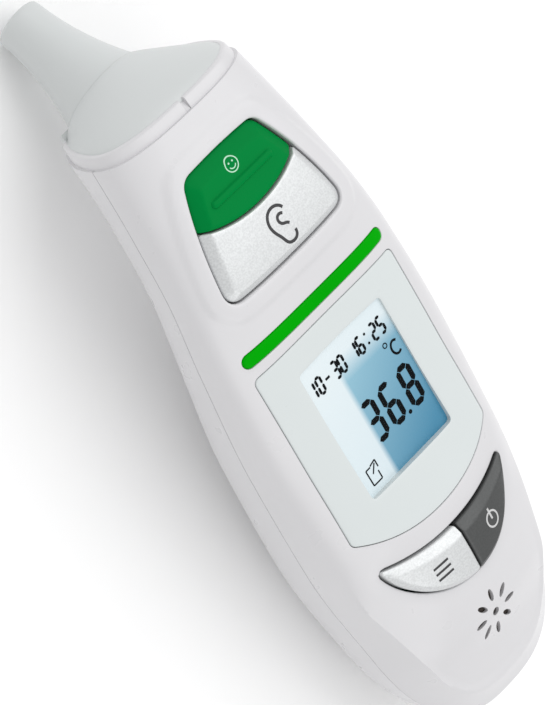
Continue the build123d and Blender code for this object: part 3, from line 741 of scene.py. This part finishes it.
def rounded_shield():
    """The shield's four sides, each ending in the middle of a rounded corner."""
    loop = rounded(shield_chains(), SHIELD_CORNER, 0.1)
    corners = [mirrored(SHIELD_BOTTOM), SHIELD_BOTTOM, SHIELD_TOP, mirrored(SHIELD_TOP)]
    at = [int(np.argmin(np.linalg.norm(loop - c, axis=1))) for c in corners]
    sides = []
    for a, b in zip(at, at[1:] + at[:1]):
        sides.append(loop[a:b + 1] if a < b else np.concatenate([loop[a:], loop[:b + 1]]))
    return sides


def small_key(side):
    lower, upper = [resample(c, 0.1) for c in crescent_chains()]
    gap = 0.13
    lower = lower[lower[:, 0] * side > gap]
    upper = upper[upper[:, 0] * side > gap]
    ends = (upper, lower) if side > 0 else (lower, upper)
    divider = np.array([ends[0][-1], ends[1][0]])
    sides = [(lower, 0.9, 0.7), (upper, 1.7, 0.95), (divider, 0.35, 0.15)]
    if side < 0:
        sides = [sides[0], sides[2], sides[1]]
    return Key(sides, 1.05, radius=0.45)


def ribbon(builder, line, width, height, lift):
    """Flat printed line that follows a surface."""
    line = resample(line, 0.15)
    tangent = np.gradient(line, axis=0)
    normal = np.stack([-tangent[:, 1], tangent[:, 0]], 1)
    normal /= np.linalg.norm(normal, axis=1)[:, None]
    left, right = line + normal * width / 2, line - normal * width / 2
    sides = [np.column_stack([s, height(*s.T) + lift]) for s in (right, left)]
    builder.strip(*sides, close=False)


def patch(builder, loop, height, lift):
    """Flat printed shape that follows a surface."""
    loop = np.asarray(loop, float)
    middle = loop.mean(0)
    points = np.concatenate([loop, [middle]])
    rows = np.column_stack([points, height(*points.T) + lift])
    n = len(loop)
    builder.add(rows, [(i, (i + 1) % n, n) for i in range(n)])


def bezier(points, count=24):
    """Cubic chain through groups of four control points that share their ends."""
    parts = []
    t = np.linspace(0, 1, count)[:, None]
    for i in range(0, len(points) - 3, 3):
        a, b, c, d = [np.array(p, float) for p in points[i:i + 4]]
        parts.append((1 - t) ** 3 * a + 3 * t * (1 - t) ** 2 * b + 3 * t * t * (1 - t) * c + t ** 3 * d)
    return np.concatenate(parts)


def face_icon(key):
    """A smiling face on the forehead button."""
    marks = Builder()
    x, y = 0.0, 47.0
    ribbon(marks, closed(circle(x, y, 1.25)), 0.2, key.height, 0.03)
    a = np.linspace(math.radians(205), math.radians(335), 20)
    ribbon(marks, np.column_stack([x + 0.72 * np.cos(a), y + 0.72 * np.sin(a)]), 0.18, key.height, 0.03)
    for side in (-1, 1):
        patch(marks, circle(x + 0.42 * side, y + 0.36, 0.17, 12), key.height, 0.03)
    return marks.make("face_mark")


def ear_icon(key):
    """An ear drawn in two strokes on the ear button."""
    marks = Builder()
    outer = [(2.9, 36.4), (2.5, 37.6), (0.6, 38.0), (-0.4, 36.9), (-1.5, 35.6), (-0.9, 34.2), (-0.4, 33.2),
             (0.1, 32.3), (0.0, 31.4), (0.9, 31.1), (1.9, 30.8), (2.8, 31.3), (2.7, 32.3)]
    inner = [(2.3, 35.7), (1.5, 36.4), (0.5, 35.6), (1.0, 34.7), (1.3, 34.1), (2.0, 34.3), (2.4, 33.7)]
    ribbon(marks, bezier(outer), 0.52, key.height, 0.03)
    ribbon(marks, bezier(inner), 0.5, key.height, 0.03)
    return marks.make("ear_mark")


def small_marks(key, side):
    """Plain marks in place of words: a stack of lines for memory, a ring and tick for set."""
    marks = Builder()
    x, y = side * 6.4, -30.2
    if side < 0:
        for row in range(3):
            level = y + 1.1 - 1.1 * row
            ribbon(marks, np.array([(x - 1.6, level), (x + 1.6, level)]), 0.4, key.height, 0.03)
    else:
        ribbon(marks, closed(circle(x, y, 1.35)), 0.34, key.height, 0.03)
        ribbon(marks, np.array([(x, y), (x, y + 2.1)]), 0.4, key.height, 0.03)
    return marks.make("memory_mark" if side < 0 else "set_mark")


# ---------------------------------------------------------------- lens, display and light bar
def lens_panel():
    """Printed border of the lens panel, round the display window."""
    loop, window = lens_loop(), window_loop()
    lines = [closed(offset_loop(loop, -step)) for step in (0.07, 0.15)]
    lines.append(closed(offset_loop(window, 0.12)))
    flat, triangles, indices = sheet(loop, [window], lines, 0.6)

    def height(x, y):
        points = np.column_stack([x, y])
        drop = edge_round(reach(points, closed(loop)), 0.15)
        drop = drop + 0.5 * edge_round(reach(points, closed(window)), 0.12)
        return crown_height(x, y) - 0.02 - drop

    top = np.column_stack([flat, height(*flat.T)])
    panel = Builder()
    panel.add(top, triangles)
    edge = top[indices[0]]
    panel.strip(edge, edge - (0, 0, 1.2))
    edge = top[indices[1]]
    low = edge.copy()
    low[:, 2] = DISPLAY_Z
    panel.strip(edge, low)
    return panel.make("lens_border")


def lens_window():
    loop = window_loop()
    flat, triangles, _ = sheet(loop, [], [], 1.0)
    top = np.column_stack([flat, crown_height(*flat.T) - 0.12])
    pane = Builder()
    pane.add(top, triangles)
    return pane.make("lens_window")


def display_face():
    """The display's lit face and the block under it."""
    x, y = 12.7, 15.5
    block = Builder()
    corners = [(-x, -y), (x, -y), (x, y), (-x, y)]
    top = [(*c, DISPLAY_Z) for c in corners]
    low = [(*c, LCD_MIDDLE_Z - 0.95) for c in corners]
    block.add(top, [(0, 1, 2, 3)])
    block.strip(top, low)
    block.add(low, [(3, 2, 1, 0)])
    return block.make("display_block")


SEGMENTS = {"0": "abcdef", "1": "bc", "2": "abged", "3": "abgcd", "5": "afgcd", "6": "afgedc", "8": "abcdefg"}


def segment(start, end, width):
    """Six-sided bar between two points, its ends pointed."""
    a, b = np.array(start, float), np.array(end, float)
    d = (b - a) / np.linalg.norm(b - a)
    n = np.array((-d[1], d[0])) * width / 2
    tip = d * width / 2
    return np.array([a, a + tip - n, b - tip - n, b, b - tip + n, a + tip + n])


def digit(builder, sign, x, y, size, width, lean=0.03):
    """Seven-segment digit whose lower left corner is at (x, y)."""
    w, h = size[0] - width, size[1] - width
    corner = {"tl": (0, h), "tr": (w, h), "ml": (0, h / 2), "mr": (w, h / 2), "bl": (0, 0), "br": (w, 0)}
    ends = {"a": ("tl", "tr"), "b": ("tr", "mr"), "c": ("mr", "br"), "d": ("bl", "br"), "e": ("ml", "bl"),
            "f": ("tl", "ml"), "g": ("ml", "mr")}
    for name in SEGMENTS[sign]:
        a, b = [np.array(corner[c]) for c in ends[name]]
        gap = (b - a) / np.linalg.norm(b - a) * 0.07 * width
        shape = segment(a + gap, b - gap, width) + width / 2
        shape = shape + (x, y) + shape[:, 1:] * (lean, 0)
        patch(builder, shape + SIGHT_SHIFT, lambda u, v: np.full_like(u, DISPLAY_Z), 0.03)


def display_marks():
    marks = Builder()
    flat = lambda u, v: np.full_like(u, DISPLAY_Z)
    small = (1.55, 3.35)
    for sign, x in (("1", -10.2), ("0", -8.45), ("3", -4.55), ("0", -3.0), ("1", 0.0), ("6", 1.6), ("2", 5.1),
                    ("5", 6.8)):
        digit(marks, sign, x, 7.3, small, 0.5)
    big = (3.35, 7.75)
    for sign, x in (("3", -4.0), ("6", 0.3), ("8", 5.1)):
        digit(marks, sign, x, -6.5, big, 1.0, 0.02)
    sx, sy = SIGHT_SHIFT
    ribbon(marks, np.array([(-6.3, 9.0), (-5.3, 9.0)]) + SIGHT_SHIFT, 0.42, flat, 0.03)
    for x, y, r in ((4.1, 9.9, 0.24), (4.1, 8.1, 0.24), (4.28, -6.15, 0.38)):
        patch(marks, circle(x + sx, y + sy, r, 16), flat, 0.03)
    ribbon(marks, closed(circle(6.35 + sx, 5.7 + sy, 0.42, 24)), 0.2, flat, 0.03)
    a = np.linspace(math.radians(50), math.radians(310), 30)
    letter = np.column_stack([8.05 + sx + 0.95 * np.cos(a), 4.2 + sy + 1.2 * np.sin(a)])
    ribbon(marks, letter, 0.42, flat, 0.03)
    box = [(-7.5, -8.0), (-8.6, -8.0), (-8.55, -10.95), (-6.45, -10.95), (-6.45, -9.4)]
    box = np.array(box) + SIGHT_SHIFT
    for start, end in zip(box[:-1], box[1:]):
        ribbon(marks, np.array([start, end]), 0.26, flat, 0.03)
    arrow = np.array([(-7.6, -9.3), (-6.45, -7.9)]) + SIGHT_SHIFT
    ribbon(marks, arrow, 0.26, flat, 0.03)
    head = np.array([(-7.45, -7.85), (-6.1, -7.5), (-6.1, -8.9)]) + SIGHT_SHIFT
    for start, end in zip(head[:-1], head[1:]):
        ribbon(marks, np.array([start, end]), 0.26, flat, 0.03)
    return marks.make("display_marks")


def light_bar():
    loop = bar_loop()
    lines = [closed(offset_loop(loop, -step)) for step in (0.1, 0.22, 0.5)]
    flat, triangles, indices = sheet(loop, [], lines, 0.35)
    height = crown_height(*flat.T) + 0.14 - edge_round(reach(flat, closed(loop)), 0.3)
    top = np.column_stack([flat, height])
    bar = Builder()
    bar.add(top, triangles)
    edge = top[indices[0]]
    bar.strip(edge, edge - (0, 0, 1.8))
    return bar.make("light_guide")


def speaker_felt():
    """Dark felt under the speaker's petals."""
    loop = circle(0, SPEAKER_Y, 5.6, 64)
    flat, triangles, indices = sheet(loop, [], [], 0.6)
    top = np.column_stack([flat, crown_height(*flat.T) - 0.75])
    felt = Builder()
    felt.add(top, triangles)
    edge = top[indices[0]]
    felt.strip(edge, edge - (0, 0, 0.6))
    return felt.make("speaker_felt")


# ---------------------------------------------------------------- materials
def node_material(name):
    material = bpy.data.materials.new(name)
    material.use_nodes = True
    tree = material.node_tree
    tree.nodes.clear()
    output = tree.nodes.new("ShaderNodeOutputMaterial")
    shader = tree.nodes.new("ShaderNodeBsdfPrincipled")
    tree.links.new(shader.outputs["BSDF"], output.inputs["Surface"])
    coords = tree.nodes.new("ShaderNodeTexCoord")
    return material, tree, shader, coords.outputs["Object"]


def noise(tree, vector, scale, detail=3.0):
    node = tree.nodes.new("ShaderNodeTexNoise")
    node.inputs["Scale"].default_value = scale
    node.inputs["Detail"].default_value = detail
    tree.links.new(vector, node.inputs["Vector"])
    return node.outputs["Fac"]


def mapped(tree, value, low, high, start=0.3, end=0.7):
    node = tree.nodes.new("ShaderNodeMapRange")
    node.inputs["From Min"].default_value = start
    node.inputs["From Max"].default_value = end
    node.inputs["To Min"].default_value = low
    node.inputs["To Max"].default_value = high
    tree.links.new(value, node.inputs["Value"])
    return node.outputs["Result"]


def blended(tree, factor, first, second):
    node = tree.nodes.new("ShaderNodeMix")
    node.data_type = "RGBA"
    node.inputs["A"].default_value = (*first, 1)
    node.inputs["B"].default_value = (*second, 1)
    tree.links.new(factor, node.inputs["Factor"])
    return node.outputs["Result"]


def bumped(tree, shader, height, strength, distance):
    node = tree.nodes.new("ShaderNodeBump")
    node.inputs["Strength"].default_value = strength
    node.inputs["Distance"].default_value = distance
    tree.links.new(height, node.inputs["Height"])
    tree.links.new(node.outputs["Normal"], shader.inputs["Normal"])


def moulded(name, colour, rough, coat=0.0, grain=2600, strength=0.05, spread=0.04, shine=0.5):
    """Moulded plastic: slight mottling, a fine surface grain, and uneven gloss."""
    material, tree, shader, coords = node_material(name)
    mottle = noise(tree, coords, 55, 5.0)
    darker = tuple(max(c * (1 - spread), 0) for c in colour)
    tint = blended(tree, mapped(tree, mottle, 0, 1), darker, colour)
    tree.links.new(tint, shader.inputs["Base Color"])
    gloss = mapped(tree, noise(tree, coords, 180), rough - 0.03, rough + 0.04)
    tree.links.new(gloss, shader.inputs["Roughness"])
    bumped(tree, shader, noise(tree, coords, grain, 2.0), strength, 0.00004)
    shader.inputs["IOR"].default_value = 1.5
    shader.inputs["Specular IOR Level"].default_value = shine
    shader.inputs["Coat Weight"].default_value = coat
    shader.inputs["Coat Roughness"].default_value = 0.08
    return material


def metallic(name, colour, rough, metal=0.75, flake=9000, strength=0.25):
    """Paint or metal with a fine sparkling grain."""
    material, tree, shader, coords = node_material(name)
    flakes = noise(tree, coords, flake, 1.0)
    darker = tuple(c * 0.88 for c in colour)
    tint = blended(tree, mapped(tree, flakes, 0, 1, 0.35, 0.65), darker, colour)
    tree.links.new(tint, shader.inputs["Base Color"])
    gloss = mapped(tree, noise(tree, coords, 400), rough - 0.04, rough + 0.05)
    tree.links.new(gloss, shader.inputs["Roughness"])
    bumped(tree, shader, flakes, strength, 0.00003)
    shader.inputs["Metallic"].default_value = metal
    return material


def lit_display():
    """Blue-lit display: pale at the left and top, deeper towards the lower right."""
    material, tree, shader, coords = node_material("display_blue")
    low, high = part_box("lcd_glass")
    split = tree.nodes.new("ShaderNodeSeparateXYZ")
    tree.links.new(coords, split.inputs["Vector"])
    across = mapped(tree, split.outputs["X"], 0, 1, low.x, high.x)
    down = mapped(tree, split.outputs["Y"], 1, 0, low.y, high.y)
    mix = tree.nodes.new("ShaderNodeMath")
    mix.operation = "MULTIPLY_ADD"
    tree.links.new(down, mix.inputs[0])
    mix.inputs[1].default_value = 0.62
    part = tree.nodes.new("ShaderNodeMath")
    part.operation = "MULTIPLY"
    tree.links.new(across, part.inputs[0])
    part.inputs[1].default_value = 0.38
    tree.links.new(part.outputs[0], mix.inputs[2])
    edge = mapped(tree, split.outputs["X"], 0, 1, -0.0037, -0.0026)
    below = mapped(tree, split.outputs["Y"], 1, 0, high.y - 0.0105, high.y - 0.006)
    band = tree.nodes.new("ShaderNodeMath")
    band.operation = "MULTIPLY"
    tree.links.new(edge, band.inputs[0])
    tree.links.new(below, band.inputs[1])
    deep_fade = mapped(tree, mix.outputs[0], 0, 1, 0.2, 0.85)
    deep = blended(tree, deep_fade, (0.27, 0.47, 0.56), (0.04, 0.19, 0.31))
    pale_fade = mapped(tree, mix.outputs[0], 0, 1, 0.1, 0.9)
    pale = blended(tree, pale_fade, (0.62, 0.68, 0.70), (0.52, 0.61, 0.65))
    pick = tree.nodes.new("ShaderNodeMix")
    pick.data_type = "RGBA"
    tree.links.new(band.outputs[0], pick.inputs["Factor"])
    tree.links.new(pale, pick.inputs["A"])
    tree.links.new(deep, pick.inputs["B"])
    tree.links.new(pick.outputs["Result"], shader.inputs["Base Color"])
    tree.links.new(pick.outputs["Result"], shader.inputs["Emission Color"])
    shader.inputs["Emission Strength"].default_value = 0.2
    shader.inputs["Roughness"].default_value = 0.35
    bumped(tree, shader, noise(tree, coords, 3000), 0.02, 0.00002)
    return material


def clear_pane(name, tint, rough=0.03):
    """Thin clear plastic that shows what lies under it."""
    material, tree, shader, coords = node_material(name)
    shader.inputs["Base Color"].default_value = (*tint, 1)
    tree.links.new(mapped(tree, noise(tree, coords, 300), rough, rough + 0.03), shader.inputs["Roughness"])
    shader.inputs["Alpha"].default_value = 0.01
    shader.inputs["Specular IOR Level"].default_value = 0.05
    shader.inputs["IOR"].default_value = 1.49
    return material


def light_guide_material():
    material = moulded("light_green", (0.0, 0.34, 0.0), 0.3, grain=1500, spread=0.12, shine=0.03)
    shader = material.node_tree.nodes["Principled BSDF"]
    shader.inputs["Emission Color"].default_value = (0.0, 0.6, 0.02, 1)
    shader.inputs["Emission Strength"].default_value = 0.06
    return material


def materials():
    return {
        "shell_white": moulded("shell_white", (0.655, 0.65, 0.665), 0.3, coat=0.12, spread=0.015,
                               strength=0.008),
        "probe_white": moulded("probe_white", (0.60, 0.622, 0.622), 0.4, spread=0.02, strength=0.01),
        "key_green": moulded("key_green", (0.0, 0.215, 0.042), 0.33, spread=0.08, shine=0.03),
        "key_silver": metallic("key_silver", (0.70, 0.715, 0.72), 0.42, 0.45, 3200, 0.4),
        "key_grey": metallic("key_grey", (0.085, 0.088, 0.088), 0.42, 0.45, 3200, 0.4),
        "light_green": light_guide_material(),
        "lens_grey": moulded("lens_grey", (0.64, 0.68, 0.68), 0.3, spread=0.02, strength=0.01,
                             shine=0.35),
        "lcd_blue": lit_display(),
        "lens_clear": clear_pane("lens_clear", (0.2, 0.22, 0.25)),
        "display_ink": moulded("display_ink", (0.004, 0.005, 0.006), 0.8, shine=0.05),
        "icon_light": moulded("icon_light", (0.45, 0.75, 0.55), 0.45),
        "icon_dark": moulded("icon_dark", (0.03, 0.03, 0.032), 0.5),
        "icon_pale": moulded("icon_pale", (0.55, 0.55, 0.55), 0.5),
        "felt": moulded("felt_brown", (0.06, 0.048, 0.04), 0.9, grain=5000, strength=0.6, spread=0.4),
        "frame_white": moulded("frame_white", (0.7, 0.71, 0.71), 0.6),
        "diffuser": moulded("diffuser", (0.75, 0.85, 0.92), 0.6),
        "silicone": moulded("silicone", (0.5, 0.52, 0.53), 0.6),
        "elastomer": moulded("elastomer", (0.08, 0.08, 0.09), 0.7),
        "board_green": moulded("board_green", (0.02, 0.17, 0.07), 0.4, spread=0.3),
        "chip_black": moulded("chip_black", (0.025, 0.025, 0.03), 0.5),
        "led_white": moulded("led_white", (0.8, 0.9, 0.75), 0.3),
        "brass": metallic("brass", (0.62, 0.45, 0.18), 0.3, 1.0),
        "gold_tube": metallic("gold_tube", (0.75, 0.52, 0.18), 0.15, 1.0),
        "sensor_steel": metallic("sensor_steel", (0.55, 0.55, 0.56), 0.3, 1.0),
        "window_clear": moulded("window_clear", (0.55, 0.58, 0.6), 0.1, coat=0.5),
        "seal_black": moulded("seal_black", (0.04, 0.04, 0.04), 0.7),
        "flex_amber": moulded("flex_amber", (0.5, 0.22, 0.04), 0.4),
        "tray_black": moulded("tray_black", (0.07, 0.07, 0.08), 0.6),
        "cell_jacket": moulded("cell_jacket", (0.06, 0.16, 0.28), 0.3, coat=0.3),
        "spring_steel": metallic("spring_steel", (0.65, 0.65, 0.67), 0.25, 1.0),
        "screw_steel": metallic("screw_steel", (0.4, 0.41, 0.43), 0.35, 1.0),
    }


# ---------------------------------------------------------------- light and camera
def area_light(name, location, target, size, power, tint=(1, 1, 1)):
    data = bpy.data.lights.new(name, "AREA")
    data.shape = "RECTANGLE"
    data.size, data.size_y = size
    data.energy = power
    data.color = tint
    light = bpy.data.objects.new(name, data)
    light.location = location
    light.rotation_euler = (Vector(target) - Vector(location)).to_track_quat("-Z", "Y").to_euler()
    bpy.context.scene.collection.objects.link(light)


def studio():
    floor_mesh = bpy.data.meshes.new("floor")
    floor_mesh.from_pydata([(-6, -6, 0), (6, -6, 0), (6, 6, 0), (-6, 6, 0)], [], [(0, 1, 2, 3)])
    ground = bpy.data.objects.new("floor", floor_mesh)
    bpy.context.scene.collection.objects.link(ground)
    ground.location.z = -0.0001
    floor_mesh.materials.append(moulded("floor_white", (0.96, 0.96, 0.96), 0.9, strength=0.0, spread=0.004))
    world = bpy.data.worlds.new("studio")
    world.use_nodes = True
    world.node_tree.nodes["Background"].inputs["Color"].default_value = (1.0, 1.0, 1.0, 1)
    world.node_tree.nodes["Background"].inputs["Strength"].default_value = 0.7
    bpy.context.scene.world = world
    area_light("key_light", (0.5, 0.3, 0.95), (0, 0, 0.02), (1.3, 1.2), 6.8)
    area_light("fill_light", (-0.3, -0.7, 0.7), (0, 0, 0.02), (0.8, 0.8), 2.2)


def camera():
    data = bpy.data.cameras.new("camera")
    data.lens = LENS_MM
    data.clip_start, data.clip_end = 0.05, 20
    view = bpy.data.objects.new("camera", data)
    right, up, back = Vector(VIEW_RIGHT), Vector(VIEW_UP), Vector(VIEW_FROM)
    middle = right * VIEW_MIDDLE[0] + up * VIEW_MIDDLE[1]
    turn = Matrix((right, up, back)).transposed()
    view.rotation_mode = "QUATERNION"
    view.location = PLACE @ ((middle + back * VIEW_DISTANCE) / 1000)
    view.rotation_quaternion = (PLACE.to_3x3() @ turn).to_quaternion()
    bpy.context.scene.collection.objects.link(view)
    bpy.context.scene.camera = view


# ---------------------------------------------------------------- everything
def frame_pitch(joints):
    axis = [j for j in joints if j["name"] == "memory_key_press"][0]["axis"]
    return math.atan2(axis[1], -axis[2])


def frame_place():
    """Matrix from the design frame to the row frame, found from where the display glass lies."""
    low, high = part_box("lcd_glass")
    return Matrix.Translation((low + high) / 2) @ Matrix.Rotation(PITCH, 4, "X") @ Matrix.Translation(
        (0, 0, -LCD_MIDDLE_Z / 1000))


def dress_nodes(frame, finishes):
    """Give every CAD node the finish that its slot names."""
    slots = {s["node"]: s["material_slot"] for s in frame["record"]["subparts"]}
    for name, node in frame["nodes"].items():
        node.data.materials.clear()
        node.data.materials.append(finishes[slots[name]])


def dress_pieces(finishes):
    white, green = finishes["shell_white"], finishes["key_green"]
    finish_piece(front_shell(), white, "casing", ["front_shell"])
    finish_piece(rear_shell(), white, "casing", ["rear_shell"])
    finish_piece(battery_cover(), white, "cover", ["battery_cover"])
    forehead, ear = main_keys()
    finish_piece(forehead.make("forehead_cap"), green, "forehead_key", ["forehead_button"])
    finish_piece(face_icon(forehead), finishes["icon_light"], "forehead_key")
    finish_piece(ear.make("ear_cap"), finishes["key_silver"], "ear_key", ["ear_button"])
    finish_piece(ear_icon(ear), finishes["icon_dark"], "ear_key")
    small_keys = ((-1, "memory", "key_silver", "icon_dark"), (1, "set", "key_grey", "icon_pale"))
    for side, name, slot, ink in small_keys:
        key = small_key(side)
        body = name + "_key"
        finish_piece(key.make(name + "_cap"), finishes[slot], body, [name + "_button"])
        finish_piece(small_marks(key, side), finishes[ink], body)
    finish_piece(probe_head(), finishes["probe_white"], "casing", ["probe_housing"])
    finish_piece(snap_collar(), white, "casing", ["snap_collar"])
    finish_piece(lens_panel(), finishes["lens_grey"], "casing", ["lens_panel"])
    finish_piece(lens_window(), finishes["lens_clear"], "casing")
    finish_piece(display_face(), finishes["lcd_blue"], "casing", ["lcd_glass"])
    finish_piece(display_marks(), finishes["display_ink"], "casing")
    finish_piece(light_bar(), finishes["light_green"], "casing", ["light_bar"])
    finish_piece(speaker_felt(), finishes["felt"], "casing", ["buzzer_gasket"])


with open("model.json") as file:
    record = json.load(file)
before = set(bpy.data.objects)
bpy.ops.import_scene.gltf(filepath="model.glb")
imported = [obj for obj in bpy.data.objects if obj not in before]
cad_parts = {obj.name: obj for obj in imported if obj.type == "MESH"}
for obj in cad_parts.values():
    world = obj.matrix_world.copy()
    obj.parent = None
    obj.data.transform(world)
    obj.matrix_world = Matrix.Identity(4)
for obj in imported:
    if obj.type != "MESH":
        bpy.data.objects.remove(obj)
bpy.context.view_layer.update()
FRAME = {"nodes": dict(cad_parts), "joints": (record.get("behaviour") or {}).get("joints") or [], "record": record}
PITCH = frame_pitch(FRAME["joints"])
PLACE = frame_place()
GROUND_Z = -PLACE.translation.z * 1000
bpy.context.scene.view_settings.view_transform = "Standard"
FINISHES = materials()
dress_nodes(FRAME, FINISHES)
dress_pieces(FINISHES)
studio()
camera()
